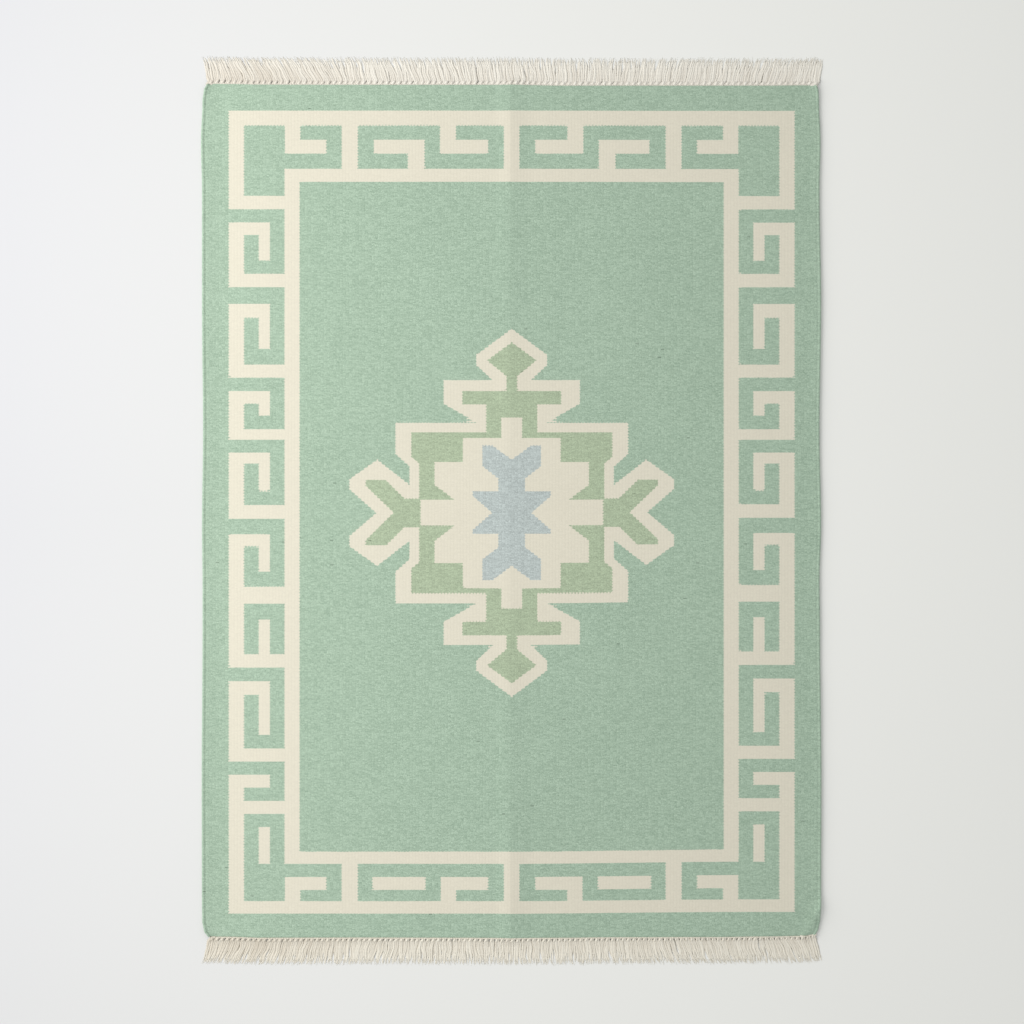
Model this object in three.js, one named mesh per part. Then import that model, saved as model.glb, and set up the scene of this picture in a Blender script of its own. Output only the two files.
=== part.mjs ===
// Flatweave rug of about 120 x 180 cm, lying flat on a floor.
//
// Millimetres, +X across the rug, +Y along it towards its top end, +Z up. The floor is
// z = 0, and the origin is the middle of the rug's outline on the floor.
//
// Pieces, as the rug is made:
//   rug_body        the woven cloth with its two selvedges, one sheet
//   fringe_top      the warp ends past the last weft at the top end, knotted in bunches
//   fringe_bottom   the same at the bottom end
//
// The woven pattern is colour alone, so the sheet is plain here.

import * as THREE from 'three';

// Cloth
const CLOTH_THICK = 4;
const CLOTH_HALF_WIDTH = 603;
const CLOTH_HALF_LENGTH = 830;

// How far the two selvedges lie from the middle line. The cloth draws in at its corners.
const SELVEDGES = [
  { y: -830, left: 590, right: 590 },
  { y: -820, left: 598, right: 596 },
  { y: -800, left: 601, right: 600 },
  { y: -765, left: 603, right: 603 },
  { y: -525, left: 605, right: 605 },
  { y: -235, left: 602, right: 601 },
  { y: -135, left: 602, right: 600 },
  { y: -35, left: 603, right: 603 },
  { y: 155, left: 601, right: 600 },
  { y: 400, left: 603, right: 603 },
  { y: 625, left: 603, right: 600 },
  { y: 720, left: 605, right: 602 },
  { y: 800, left: 602, right: 599 },
  { y: 820, left: 599, right: 598 },
  { y: 830, left: 594, right: 595 },
];

// How far the two woven ends lie from the middle of the rug.
const WOVEN_ENDS = [
  { x: -603, top: 830, bottom: 828.5 },
  { x: -585, top: 832, bottom: 830 },
  { x: -550, top: 831.5, bottom: 830 },
  { x: -490, top: 830.5, bottom: 832 },
  { x: -300, top: 830, bottom: 831.5 },
  { x: -100, top: 830, bottom: 832 },
  { x: 0, top: 830, bottom: 832.5 },
  { x: 100, top: 828.5, bottom: 832 },
  { x: 200, top: 828.5, bottom: 831 },
  { x: 400, top: 828.5, bottom: 830.5 },
  { x: 500, top: 828.5, bottom: 829.5 },
  { x: 560, top: 829, bottom: 828.5 },
  { x: 585, top: 829, bottom: 827 },
  { x: 603, top: 828, bottom: 824.5 },
];

// Crease left along the middle from folding the rug in half. It is highest at the ends.
const CREASE = { x: -2, leftFlank: 32, rightFlank: 46, middleHeight: 1.6, endHeight: 4 };

// Corners whose selvedge has curled up: how high, how far in from the side, how far along it.
const CURLED_CORNERS = [
  { side: -1, end: 1, height: 2.5, inward: 14, along: 60 },
  { side: -1, end: -1, height: 3, inward: 16, along: 55 },
  { side: 1, end: 1, height: 1.5, inward: 14, along: 50 },
];

// Small buckle across the bottom right corner: where its top line meets the two edges.
const BUCKLE = { inFromSide: 26, inFromEnd: 56, spread: 0.6, height: 3.5 };

// Grid lines of the sheet, measured in from each edge and out from the crease.
const EDGE_LINES = [0, 12, 26, 44, 75];
const CREASE_LINES = [0, 12, 27, 46];
const WIDEST_PANEL = 110;

// Fringe: the knotted strip and the bunch of yarn that leaves each knot
const STRIP_GAP = 0.3;
const KNOT = { halfWidth: 2.6, backHeight: 4.4, frontHeight: 3.2, reach: 7 };
const HOLLOW = { height: 2.2, reach: 4.5 };
const BUNCH_RINGS = [
  // share of the length, half width, thickness, share of the lean
  { along: 0.3, halfWidth: 2.5, thick: 3, lean: 0.15 },
  { along: 0.65, halfWidth: 2.7, thick: 2.6, lean: 0.5 },
  { along: 1, halfWidth: 1.3, thick: 1.6, lean: 1 },
];
// Sides of a four-sided section, in the order back, top, front and underside.
const ALL_SIDES = [0, 1, 2, 3];
const FRONT = 2;

// How much one bunch differs from the next
const LENGTH_JITTER = 4;
const LEAN_JITTER = 2;

// How far the tips lie sideways from their knots, along each fringe
const TOP_LEANS = [
  { x: -603, lean: -9 },
  { x: -565, lean: -12 },
  { x: -520, lean: -18 },
  { x: -430, lean: -21 },
  { x: -350, lean: -17 },
  { x: -300, lean: -8 },
  { x: -215, lean: -9 },
  { x: -100, lean: -7 },
  { x: -20, lean: -2 },
  { x: 95, lean: 1 },
  { x: 210, lean: 3 },
  { x: 330, lean: 10 },
  { x: 405, lean: 8 },
  { x: 485, lean: 12 },
  { x: 560, lean: 14 },
  { x: 603, lean: 11 },
];
const BOTTOM_LEANS = [
  { x: -603, lean: -10 },
  { x: -560, lean: -17 },
  { x: -490, lean: -14 },
  { x: -410, lean: -10 },
  { x: -330, lean: -4 },
  { x: -180, lean: -6 },
  { x: -100, lean: 0 },
  { x: 95, lean: 4 },
  { x: 210, lean: 4 },
  { x: 290, lean: 6 },
  { x: 350, lean: 16 },
  { x: 405, lean: 10 },
  { x: 485, lean: 9 },
  { x: 545, lean: 16 },
  { x: 603, lean: 11 },
];
const FRINGES = {
  top: { outward: 1, knots: 104, length: 51, leans: TOP_LEANS },
  bottom: { outward: -1, knots: 115, length: 50, leans: BOTTOM_LEANS },
};

/** Value of one column of a table at a place between its rows, eased from row to row. */
function valueAt(rows, placeColumn, place, column) {
  const next = Math.max(1, rows.findIndex((row) => row[placeColumn] >= place));
  const [before, after] = [rows[next - 1], rows[next]];
  const share = (place - before[placeColumn]) / (after[placeColumn] - before[placeColumn]);
  return THREE.MathUtils.lerp(before[column], after[column], THREE.MathUtils.smoothstep(share, 0, 1));
}

/** A hump that is 1 at zero and falls to nothing at -1 and +1, with a soft foot. */
function hump(t) {
  return Math.abs(t) < 1 ? (1 - Math.abs(t)) ** 2 * (1 + Math.abs(t)) : 0;
}

/** Height of the cloth's underside over the floor at a point of the flat cloth. */
function lift(x, y) {
  const { x: creaseX, leftFlank, rightFlank, middleHeight, endHeight } = CREASE;
  const flank = x < creaseX ? leftFlank : rightFlank;
  const creaseHeight = THREE.MathUtils.lerp(middleHeight, endHeight, (y / CLOTH_HALF_LENGTH) ** 2);
  let height = creaseHeight * hump((x - creaseX) / flank);

  for (const corner of CURLED_CORNERS) {
    const fromSide = CLOTH_HALF_WIDTH - corner.side * x;
    const fromEnd = CLOTH_HALF_LENGTH - corner.end * y;
    height += corner.height * hump(fromSide / corner.inward) * hump(fromEnd / corner.along);
  }

  const fromSide = CLOTH_HALF_WIDTH - x;
  const fromEnd = CLOTH_HALF_LENGTH + y;
  const across = fromSide / BUCKLE.inFromSide + fromEnd / BUCKLE.inFromEnd - 1;
  return height + BUCKLE.height * hump(across / BUCKLE.spread);
}

/** Where a point of the flat cloth lies once the edges are drawn in, on the underside. */
function placeOnFloor(x, y) {
  const halfWidth = valueAt(SELVEDGES, 'y', y, x < 0 ? 'left' : 'right');
  const halfLength = valueAt(WOVEN_ENDS, 'x', x, y < 0 ? 'bottom' : 'top');
  const drawnX = (x / CLOTH_HALF_WIDTH) * halfWidth;
  const drawnY = (y / CLOTH_HALF_LENGTH) * halfLength;
  return new THREE.Vector3(drawnX, drawnY, lift(x, y));
}

/** Grid lines from -half to +half: close at both edges and beside the crease, wide between. */
function gridLines(half, creases) {
  const fixed = EDGE_LINES.flatMap((inward) => [inward - half, half - inward]);
  for (const crease of creases) {
    fixed.push(...CREASE_LINES.flatMap((out) => (out ? [crease - out, crease + out] : [crease])));
  }
  fixed.sort((a, b) => a - b);
  const lines = [fixed[0]];
  for (const line of fixed.slice(1)) {
    const start = lines.at(-1);
    const panels = Math.ceil((line - start) / WIDEST_PANEL);
    for (let panel = 1; panel <= panels; panel += 1) {
      lines.push(start + ((line - start) * panel) / panels);
    }
  }
  return lines;
}

/** Collects points and four-cornered faces, and turns them into one closed geometry. */
class Shell {
  constructor() {
    this.positions = [];
    this.indices = [];
  }

  point(x, y, z) {
    this.positions.push(x, y, z);
    return this.positions.length / 3 - 1;
  }

  face(a, b, c, d) {
    this.indices.push(a, b, c, a, c, d);
  }

  geometry(insideOut) {
    const geometry = new THREE.BufferGeometry();
    geometry.setAttribute('position', new THREE.Float32BufferAttribute(this.positions, 3));
    geometry.setIndex(insideOut ? [...this.indices].reverse() : this.indices);
    geometry.computeVertexNormals();
    return geometry;
  }
}

const columns = gridLines(CLOTH_HALF_WIDTH, [CREASE.x]);
const rows = gridLines(CLOTH_HALF_LENGTH, []);

/** The woven sheet: two faces on the same grid, closed round the rim. */
function clothGeometry() {
  const shell = new Shell();
  const layer = (height) => rows.map((y) => columns.map((x) => {
    const place = placeOnFloor(x, y);
    return shell.point(place.x, place.y, place.z + height);
  }));
  const [under, top] = [layer(0), layer(CLOTH_THICK)];
  const [lastRow, lastColumn] = [rows.length - 1, columns.length - 1];

  for (let r = 0; r < lastRow; r += 1) {
    for (let c = 0; c < lastColumn; c += 1) {
      shell.face(top[r][c], top[r][c + 1], top[r + 1][c + 1], top[r + 1][c]);
      shell.face(under[r][c], under[r + 1][c], under[r + 1][c + 1], under[r][c + 1]);
    }
    shell.face(under[r][0], top[r][0], top[r + 1][0], under[r + 1][0]);
    shell.face(under[r + 1][lastColumn], top[r + 1][lastColumn], top[r][lastColumn], under[r][lastColumn]);
  }
  for (let c = 0; c < lastColumn; c += 1) {
    shell.face(under[0][c], under[0][c + 1], top[0][c + 1], top[0][c]);
    shell.face(top[lastRow][c], top[lastRow][c + 1], under[lastRow][c + 1], under[lastRow][c]);
  }
  return shell.geometry(false);
}

const SALTS = 1000;

/** A repeatable number from -0.5 to 0.5 for one bunch. */
function scatter(index, salt) {
  return THREE.MathUtils.seededRandom(index * SALTS + salt) - 0.5;
}

/**
 * One end's fringe. A strip runs along the cloth's edge, high at each knot and low between
 * two knots, and a four-sided bunch leaves the front of every knot and lies on the floor.
 */
function fringeGeometry({ outward, knots, length, leans }) {
  const edge = columns.map((x) => placeOnFloor(x, outward * CLOTH_HALF_LENGTH));
  const [firstX, lastX] = [edge[0].x, edge.at(-1).x];
  const pitch = (lastX - firstX) / knots;
  const shell = new Shell();

  /** The cloth's edge at x, on the straight line between two grid points. */
  const edgeAt = (x) => {
    const next = Math.max(1, edge.findIndex((place) => place.x >= x));
    const [before, after] = [edge.at(next - 1), edge.at(next)];
    return before.clone().lerp(after, (x - before.x) / (after.x - before.x));
  };

  const stripSection = (x, reach, backHeight, frontHeight) => {
    const { y, z } = edgeAt(THREE.MathUtils.clamp(x, firstX, lastX));
    const back = y + outward * STRIP_GAP;
    const front = back + outward * reach;
    return [
      shell.point(x, back, z),
      shell.point(x, back, z + backHeight),
      shell.point(x, front, z + frontHeight),
      shell.point(x, front, z),
    ];
  };

  const join = (before, after, sides) => {
    for (const side of sides) {
      const next = (side + 1) % 4;
      shell.face(before[side], after[side], after[next], before[next]);
    }
  };

  const addBunch = (knot, x, root) => {
    const lean = valueAt(leans, 'x', x, 'lean') + LEAN_JITTER * scatter(knot, knots);
    const reach = length + LENGTH_JITTER * scatter(knot, knots + 1);
    const edgeY = edgeAt(x).y;
    let last = root;
    for (const ring of BUNCH_RINGS) {
      const middle = x + lean * ring.lean;
      const y = edgeY + outward * reach * ring.along;
      const [left, right] = [middle - ring.halfWidth, middle + ring.halfWidth];
      const next = [
        shell.point(left, y, 0),
        shell.point(right, y, 0),
        shell.point(right, y, ring.thick),
        shell.point(left, y, ring.thick),
      ];
      join(last, next, ALL_SIDES);
      last = next;
    }
    shell.face(...last.reverse());
  };

  let hollow = stripSection(firstX, HOLLOW.reach, HOLLOW.height, HOLLOW.height);
  shell.face(...hollow);
  for (let knot = 0; knot < knots; knot += 1) {
    const x = firstX + (knot + 0.5) * pitch;
    const knotSides = [x - KNOT.halfWidth, x + KNOT.halfWidth].map((side) =>
      stripSection(side, KNOT.reach, KNOT.backHeight, KNOT.frontHeight));
    const [left, right] = knotSides;
    join(hollow, left, ALL_SIDES);
    join(left, right, ALL_SIDES.filter((side) => side !== FRONT));
    addBunch(knot, x, [left[3], right[3], right[2], left[2]]);
    hollow = stripSection(x + pitch / 2, HOLLOW.reach, HOLLOW.height, HOLLOW.height);
    join(right, hollow, ALL_SIDES);
  }
  shell.face(...hollow.reverse());
  return shell.geometry(outward < 0);
}

const wovenCotton = new THREE.MeshStandardMaterial({ color: 0xaac0ab, roughness: 0.95, metalness: 0 });
wovenCotton.name = 'woven_cotton';
const fringeCotton = new THREE.MeshStandardMaterial({ color: 0xdcd5c6, roughness: 0.95, metalness: 0 });
fringeCotton.name = 'fringe_cotton';

function piece(name, geometry, material) {
  const mesh = new THREE.Mesh(geometry, material);
  mesh.name = name;
  return mesh;
}

const rug = new THREE.Group();
rug.name = 'rug';
rug.add(piece('rug_body', clothGeometry(), wovenCotton));
rug.add(piece('fringe_top', fringeGeometry(FRINGES.top), fringeCotton));
rug.add(piece('fringe_bottom', fringeGeometry(FRINGES.bottom), fringeCotton));

// The outline is a little uneven, so the whole rug is moved until its middle is the origin.
const middle = new THREE.Box3().setFromObject(rug).getCenter(new THREE.Vector3());
for (const mesh of rug.children) {
  mesh.geometry.translate(-middle.x, -middle.y, 0);
}

export default rug;
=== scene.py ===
"""Flatweave rug on a pale floor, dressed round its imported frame. Metres, +Y towards the rug's top."""

import math

import bpy
import numpy as np
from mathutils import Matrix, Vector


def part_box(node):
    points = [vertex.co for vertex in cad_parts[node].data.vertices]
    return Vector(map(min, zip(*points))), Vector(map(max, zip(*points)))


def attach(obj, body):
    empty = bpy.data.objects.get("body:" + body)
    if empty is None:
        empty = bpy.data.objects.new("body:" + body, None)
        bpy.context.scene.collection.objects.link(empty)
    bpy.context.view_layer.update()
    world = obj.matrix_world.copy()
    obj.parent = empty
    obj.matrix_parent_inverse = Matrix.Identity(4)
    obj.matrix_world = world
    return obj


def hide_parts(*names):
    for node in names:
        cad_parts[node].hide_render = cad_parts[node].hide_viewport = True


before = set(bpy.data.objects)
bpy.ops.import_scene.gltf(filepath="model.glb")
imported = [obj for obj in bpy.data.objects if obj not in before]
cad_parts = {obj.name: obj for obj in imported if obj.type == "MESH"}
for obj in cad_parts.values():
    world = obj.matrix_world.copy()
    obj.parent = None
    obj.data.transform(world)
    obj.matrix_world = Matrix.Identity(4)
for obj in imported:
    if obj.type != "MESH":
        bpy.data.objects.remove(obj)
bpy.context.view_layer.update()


# The woven cloth: one weft-faced cotton sheet, its figures woven in with the ground, so they
# show on both faces. Its edges draw in at the corners, and a crease runs down the middle where
# the rug was folded in half.
MM = 0.001
CLOTH_THICK = 4
HALF_WIDTH = 603
HALF_LENGTH = 830
PATTERN_HALF_WIDTH = 552
PATTERN_HALF_LENGTH = 784

SELVEDGES = [
    {"y": -830, "left": 592, "right": 593},
    {"y": -820, "left": 599, "right": 598},
    {"y": -800, "left": 602.5, "right": 601.5},
    {"y": -765, "left": 603, "right": 603},
    {"y": -525, "left": 603.5, "right": 603.5},
    {"y": -235, "left": 602, "right": 601},
    {"y": -135, "left": 602, "right": 600},
    {"y": -35, "left": 603, "right": 603},
    {"y": 155, "left": 601, "right": 600},
    {"y": 400, "left": 603, "right": 603},
    {"y": 625, "left": 603, "right": 600},
    {"y": 720, "left": 605, "right": 602},
    {"y": 800, "left": 602, "right": 599},
    {"y": 820, "left": 599, "right": 598},
    {"y": 830, "left": 594, "right": 595},
]
WOVEN_ENDS = [
    {"x": -603, "top": 830, "bottom": 828.5},
    {"x": -585, "top": 832, "bottom": 830},
    {"x": -550, "top": 831.5, "bottom": 830},
    {"x": -490, "top": 830.5, "bottom": 832},
    {"x": -300, "top": 830, "bottom": 831.5},
    {"x": -100, "top": 830, "bottom": 832},
    {"x": 0, "top": 830, "bottom": 832.5},
    {"x": 100, "top": 828.5, "bottom": 832},
    {"x": 200, "top": 828.5, "bottom": 831},
    {"x": 400, "top": 828.5, "bottom": 830.5},
    {"x": 500, "top": 828.5, "bottom": 829.5},
    {"x": 560, "top": 829, "bottom": 828.5},
    {"x": 585, "top": 829, "bottom": 827},
    {"x": 603, "top": 828, "bottom": 824.5},
]
# How far the wefts have crept up at the right side of the loom, compared with the left
WEFT_DRIFT = [
    {"y": -830, "rise": 0},
    {"y": -780, "rise": 3.3},
    {"y": -560, "rise": 5.3},
    {"y": -270, "rise": 5.2},
    {"y": -100, "rise": 3},
    {"y": 118, "rise": 0},
    {"y": 780, "rise": -0.6},
    {"y": 830, "rise": 0},
]
CREASE = {"x": -2, "left_flank": 32, "right_flank": 46, "middle_height": 0.7, "end_height": 3}
CURLED_CORNERS = [
    {"side": -1, "end": 1, "height": 2.5, "inward": 14, "along": 60},
    {"side": -1, "end": -1, "height": 3, "inward": 16, "along": 55},
    {"side": 1, "end": 1, "height": 1.5, "inward": 14, "along": 50},
]
RAISED_RIM = {"height": 1.3, "inward": 22}
BUCKLE = {"in_from_side": 26, "in_from_end": 56, "spread": 0.6, "height": 3.5}
# Slow waves left in the cloth: height, length of the wave and the way it runs
COCKLES = [
    {"height": 0.22, "length": 310, "heading": 20},
    {"height": 0.16, "length": 190, "heading": 105},
    {"height": 0.10, "length": 118, "heading": 65},
]


def eased(share):
    """From 0 to 1, with a soft start and end."""
    share = np.clip(share, 0, 1)
    return share * share * (3 - 2 * share)


def value_at(rows, place_column, place, column):
    """One column of a table at each place, eased from row to row."""
    places = np.array([row[place_column] for row in rows], float)
    values = np.array([row[column] for row in rows], float)
    after = np.clip(np.searchsorted(places, place), 1, len(rows) - 1)
    share = (place - places[after - 1]) / (places[after] - places[after - 1])
    return values[after - 1] + (values[after] - values[after - 1]) * eased(share)


def hump(t):
    """1 at zero, falling to nothing at -1 and +1 with a soft foot."""
    t = np.minimum(np.abs(t), 1)
    return (1 - t) ** 2 * (1 + t)


def lift(x, y):
    """Height of the cloth's underside over the floor, in millimetres."""
    flank = np.where(x < CREASE["x"], CREASE["left_flank"], CREASE["right_flank"])
    rise = CREASE["end_height"] - CREASE["middle_height"]
    crest = CREASE["middle_height"] + rise * (y / HALF_LENGTH) ** 2
    height = crest * hump((x - CREASE["x"]) / flank)
    for corner in CURLED_CORNERS:
        from_side = HALF_WIDTH - corner["side"] * x
        from_end = HALF_LENGTH - corner["end"] * y
        curl = hump(from_side / corner["inward"]) * hump(from_end / corner["along"])
        height = height + corner["height"] * curl
    height = height + RAISED_RIM["height"] * hump((HALF_WIDTH - x) / RAISED_RIM["inward"])
    across = (HALF_WIDTH - x) / BUCKLE["in_from_side"]
    across = across + (HALF_LENGTH + y) / BUCKLE["in_from_end"] - 1
    return height + BUCKLE["height"] * hump(across / BUCKLE["spread"])


def cockle(x, y):
    """Height of the slow waves, never below the floor, in millimetres."""
    height = 0
    for wave in COCKLES:
        heading = math.radians(wave["heading"])
        along = x * math.cos(heading) + y * math.sin(heading)
        height = height + wave["height"] * (1 + np.sin(2 * math.pi * along / wave["length"]))
    return height


def laid(x, y):
    """Where points of the flat cloth lie on the floor, before the rug is centred."""
    half_width = value_at(SELVEDGES, "y", y, "left")
    half_width = np.where(x < 0, half_width, value_at(SELVEDGES, "y", y, "right"))
    half_length = value_at(WOVEN_ENDS, "x", x, "top")
    half_length = np.where(y < 0, value_at(WOVEN_ENDS, "x", x, "bottom"), half_length)
    side_share = eased((np.abs(x) - PATTERN_HALF_WIDTH) / (HALF_WIDTH - PATTERN_HALF_WIDTH))
    end_share = eased((np.abs(y) - PATTERN_HALF_LENGTH) / (HALF_LENGTH - PATTERN_HALF_LENGTH))
    laid_x = x + np.sign(x) * (half_width - HALF_WIDTH) * side_share
    laid_y = y + np.sign(y) * (half_length - HALF_LENGTH) * end_share
    drift = value_at(WEFT_DRIFT, "y", y, "rise") * eased(x / 450)
    return laid_x, laid_y + drift


# The chart, in millimetres from the middle of the border, which both halves mirror
BORDER_MIDDLE = 0.3
BARS = {"outer": (521.5, 551), "hook": (471, 493), "inner": (412.7, 442.7)}
TOP_ROWS = {"outer": (750.7, 779.4), "arm": (694.8, 722.9), "inner": (641.2, 666.7)}
BOTTOM_ROWS = {"outer": (-784.3, -761), "arm": (-738, -712.8), "inner": (-687.4, -664.7)}
SIDE_KEYS = [
    {"top": 560.9, "bar": 537.1, "hook_end": 488.2, "rail": 462.5, "bottom": 436},
    {"top": 402.8, "bar": 375.1, "hook_end": 315.6, "rail": 285.6, "bottom": 260},
    {"top": 233.8, "bar": 209, "hook_end": 186, "rail": 159.4, "bottom": 138.2},
    {"top": 114, "bar": 91.2, "hook_end": 38.3, "rail": 12, "bottom": -15.8},
    {"top": -44.9, "bar": -69.6, "hook_end": -119, "rail": -147.2, "bottom": -181.2},
    {"top": -331.9, "bar": -359.2, "hook_end": -435.8, "rail": -462.8, "bottom": -488.4},
]
CORNER_RAIL = (586.5, 612.8)
STANDING_HOOK = {"top": -211.5, "foot": -278.5, "rail_bottom": -304.9}
LAST_KEY = {"top": -513.8, "bar": -538.6, "rail": -564.6, "rail_bottom": -590}
CORNER_BAR = (-687.4, -615.4)
END_KEYS = [
    {"rows": TOP_ROWS, "near": 411.4, "far": 441.7, "stands_on": ["outer"], "arm_to": 361},
    {"rows": TOP_ROWS, "near": 299.5, "far": 331.3, "stands_on": ["outer", "inner"], "arm_to": None},
    {"rows": TOP_ROWS, "near": 169.5, "far": 202.5, "stands_on": ["inner"], "arm_to": 268.5},
    {"rows": TOP_ROWS, "near": 108.3, "far": 140, "stands_on": ["outer"], "arm_to": 45.6},
    {"rows": TOP_ROWS, "near": -15.5, "far": 15.5, "stands_on": ["outer", "inner"], "arm_to": None},
    {"rows": BOTTOM_ROWS, "near": 411.4, "far": 441.7, "stands_on": ["outer"], "arm_to": 361},
    {"rows": BOTTOM_ROWS, "near": 299.5, "far": 331.5, "stands_on": ["outer", "inner"], "arm_to": None},
    {"rows": BOTTOM_ROWS, "near": 168, "far": 271.5, "stands_on": [], "arm_to": 168},
    {"rows": BOTTOM_ROWS, "near": 107.8, "far": 138.2, "stands_on": ["outer"], "arm_to": 45.6},
    {"rows": BOTTOM_ROWS, "near": -15.5, "far": 15.5, "stands_on": ["outer", "inner"], "arm_to": None},
]


def border_rectangles():
    """The border's cream bars as (near, far, low, high), from the middle outwards."""
    inner_near, outer_far = BARS["inner"][0], BARS["outer"][1]
    hook_near, hook_far = BARS["hook"]
    bars = [
        (*BARS["inner"], BOTTOM_ROWS["inner"][0], TOP_ROWS["inner"][1]),
        (*BARS["outer"], CORNER_RAIL[0], TOP_ROWS["outer"][1]),
        (inner_near, outer_far, *CORNER_RAIL),
        (*BARS["outer"], BOTTOM_ROWS["outer"][0], LAST_KEY["top"]),
        (hook_near, outer_far, LAST_KEY["bar"], LAST_KEY["top"]),
        (inner_near, outer_far, LAST_KEY["rail_bottom"], LAST_KEY["rail"]),
        (hook_near, hook_far, *CORNER_BAR),
        (*BARS["outer"], STANDING_HOOK["rail_bottom"], SIDE_KEYS[4]["top"]),
        (hook_near, hook_far, STANDING_HOOK["rail_bottom"], STANDING_HOOK["top"]),
        (inner_near, outer_far, STANDING_HOOK["rail_bottom"], STANDING_HOOK["foot"]),
    ]
    for rows in (TOP_ROWS, BOTTOM_ROWS):
        bars.append((-outer_far, outer_far, *rows["outer"]))
        bars.append((-BARS["inner"][1], BARS["inner"][1], *rows["inner"]))
    for key in SIDE_KEYS:
        bars.append((*BARS["outer"], key["bottom"], key["top"]))
        bars.append((hook_near, outer_far, key["bar"], key["top"]))
        bars.append((hook_near, hook_far, key["hook_end"], key["top"]))
        bars.append((inner_near, outer_far, key["bottom"], key["rail"]))
    for key in END_KEYS:
        rows = key["rows"]
        reach = [edge for name in key["stands_on"] for edge in rows[name]]
        if key["arm_to"] is not None:
            reach.extend(rows["arm"])
            arm = sorted((key["near"], key["far"], key["arm_to"]))
            bars.append((arm[0], arm[-1], *rows["arm"]))
        bars.append((key["near"], key["far"], min(reach), max(reach)))
    return bars


# One quarter of the medallion, from its upper point round to its side, in millimetres
MEDALLION_CENTRE = (0.5, -4)
MEDALLION = {
    "cream": [
        (0, 358.5), (69, 307.5), (69, 288), (37, 258), (133, 258), (133, 212.5), (68.5, 176),
        (227, 176), (227, 115), (199, 90), (199, 54.5), (262, 103.5), (316, 65.5), (316, 45.5),
        (264, 0),
    ],
    "olive": [
        (0, 332), (48, 297), (10.5, 266), (10.5, 238), (96.5, 238), (96.5, 211.5), (49.5, 211.5),
        (49.5, 157), (196, 157), (196, 109), (180, 96), (180, 28), (209, 28), (245, 63.5),
        (284.5, 63.5), (284.5, 53), (230, 0),
    ],
    "star": [
        (0, 186), (20.5, 186), (20.5, 146.5), (95.5, 146.5), (95.5, 98.5), (150.5, 98.5), (150.5, 54.5),
        (111.5, 25.5), (178, 25.5), (178, 0),
    ],
    "blue": [
        (0, 103.5), (37.5, 131), (57, 131), (57, 90.5), (26, 67), (26, 41.5), (76, 41.5), (76, 33),
        (38.5, 0),
    ],
}


def distance_to_rectangle(x, y, near, far, low, high):
    """Millimetres outside a rectangle, or, below zero, inside it."""
    out_sideways = np.abs(x - (near + far) / 2) - (far - near) / 2
    out_lengthways = np.abs(y - (low + high) / 2) - (high - low) / 2
    return np.maximum(out_sideways, out_lengthways)


def distance_to_quarter(x, y, points):
    """The same for a figure charted as one quarter and mirrored both ways."""
    x, y = np.abs(x), np.abs(y)
    nearest = np.full(x.shape, np.inf)
    for (x0, y0), (x1, y1) in zip(points, points[1:]):
        run = np.array((x1 - x0, y1 - y0), float)
        share = np.clip(((x - x0) * run[0] + (y - y0) * run[1]) / (run @ run), 0, 1)
        to_side = np.hypot(x - x0 - share * run[0], y - y0 - share * run[1])
        nearest = np.minimum(nearest, to_side)
    inside = np.zeros(x.shape, bool)
    ring = [*points, (0, 0)]
    for (x0, y0), (x1, y1) in zip(ring, ring[1:] + ring[:1]):
        if y0 != y1:
            crosses = (y0 > y) != (y1 > y)
            inside ^= crosses & (x < (x1 - x0) * (y - y0) / (y1 - y0) + x0)
    return np.where(inside, -nearest, nearest)


def figure_distances(x, y):
    """Distances in millimetres to the cream, olive and blue figures at points of the cloth."""
    centre_x, centre_y = MEDALLION_CENTRE
    distances = {
        name: distance_to_quarter(x - centre_x, y - centre_y, points)
        for name, points in MEDALLION.items()
    }
    out = np.abs(x - BORDER_MIDDLE)
    for bar in border_rectangles():
        distances["cream"] = np.minimum(distances["cream"], distance_to_rectangle(out, y, *bar))
    return distances


WIDEST_CELL = 12
CLOSEST_LINES = 1.2
SELVEDGE_LINES = [0, 0.5, 1.4, 3, 4.6, 6, 7.6, 9.5, 14]
END_LINES = [0, 0.5, 1.4, 3, 8]
CREASE_LINES = [-46, -32, -22, -14, -8, -3, 0, 3, 8, 15, 24, 34, 46]


def grid_lines(half, edge_lines, wanted):
    """Lines across the cloth: the wanted ones, close at the edges, and no cell too wide."""
    edges = sorted({inward - half for inward in edge_lines} | {half - inward for inward in edge_lines})
    lines = list(edges)
    for line in sorted(set(wanted)):
        if min(abs(line - other) for other in lines) > CLOSEST_LINES:
            lines.append(line)
    lines.sort()
    filled = [lines[0]]
    for line in lines[1:]:
        cells = math.ceil((line - filled[-1]) / WIDEST_CELL)
        filled.extend(np.linspace(filled[-1], line, cells + 1)[1:])
    return np.array(filled)


def pattern_lines():
    """Where the chart's edges run: across the cloth, and along it."""
    across = []
    along = []
    for near, far, low, high in border_rectangles():
        across += [BORDER_MIDDLE + side * edge for edge in (near, far) for side in (-1, 1)]
        along += [low, high]
    centre_x, centre_y = MEDALLION_CENTRE
    for points in MEDALLION.values():
        across += [centre_x + side * x for x, _ in points for side in (-1, 1)]
        along += [centre_y + side * y for _, y in points for side in (-1, 1)]
    return across, along


across_lines, along_lines = pattern_lines()
across_lines += [CREASE["x"] + line for line in CREASE_LINES]
columns = grid_lines(HALF_WIDTH, SELVEDGE_LINES, across_lines)
rows = grid_lines(HALF_LENGTH, END_LINES, along_lines)

ROUNDING = 2.4
THINNEST_RIM = 0.02
GROOVE = {"inward": 5.8, "half_width": 2.6, "depth": 0.55}


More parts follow.
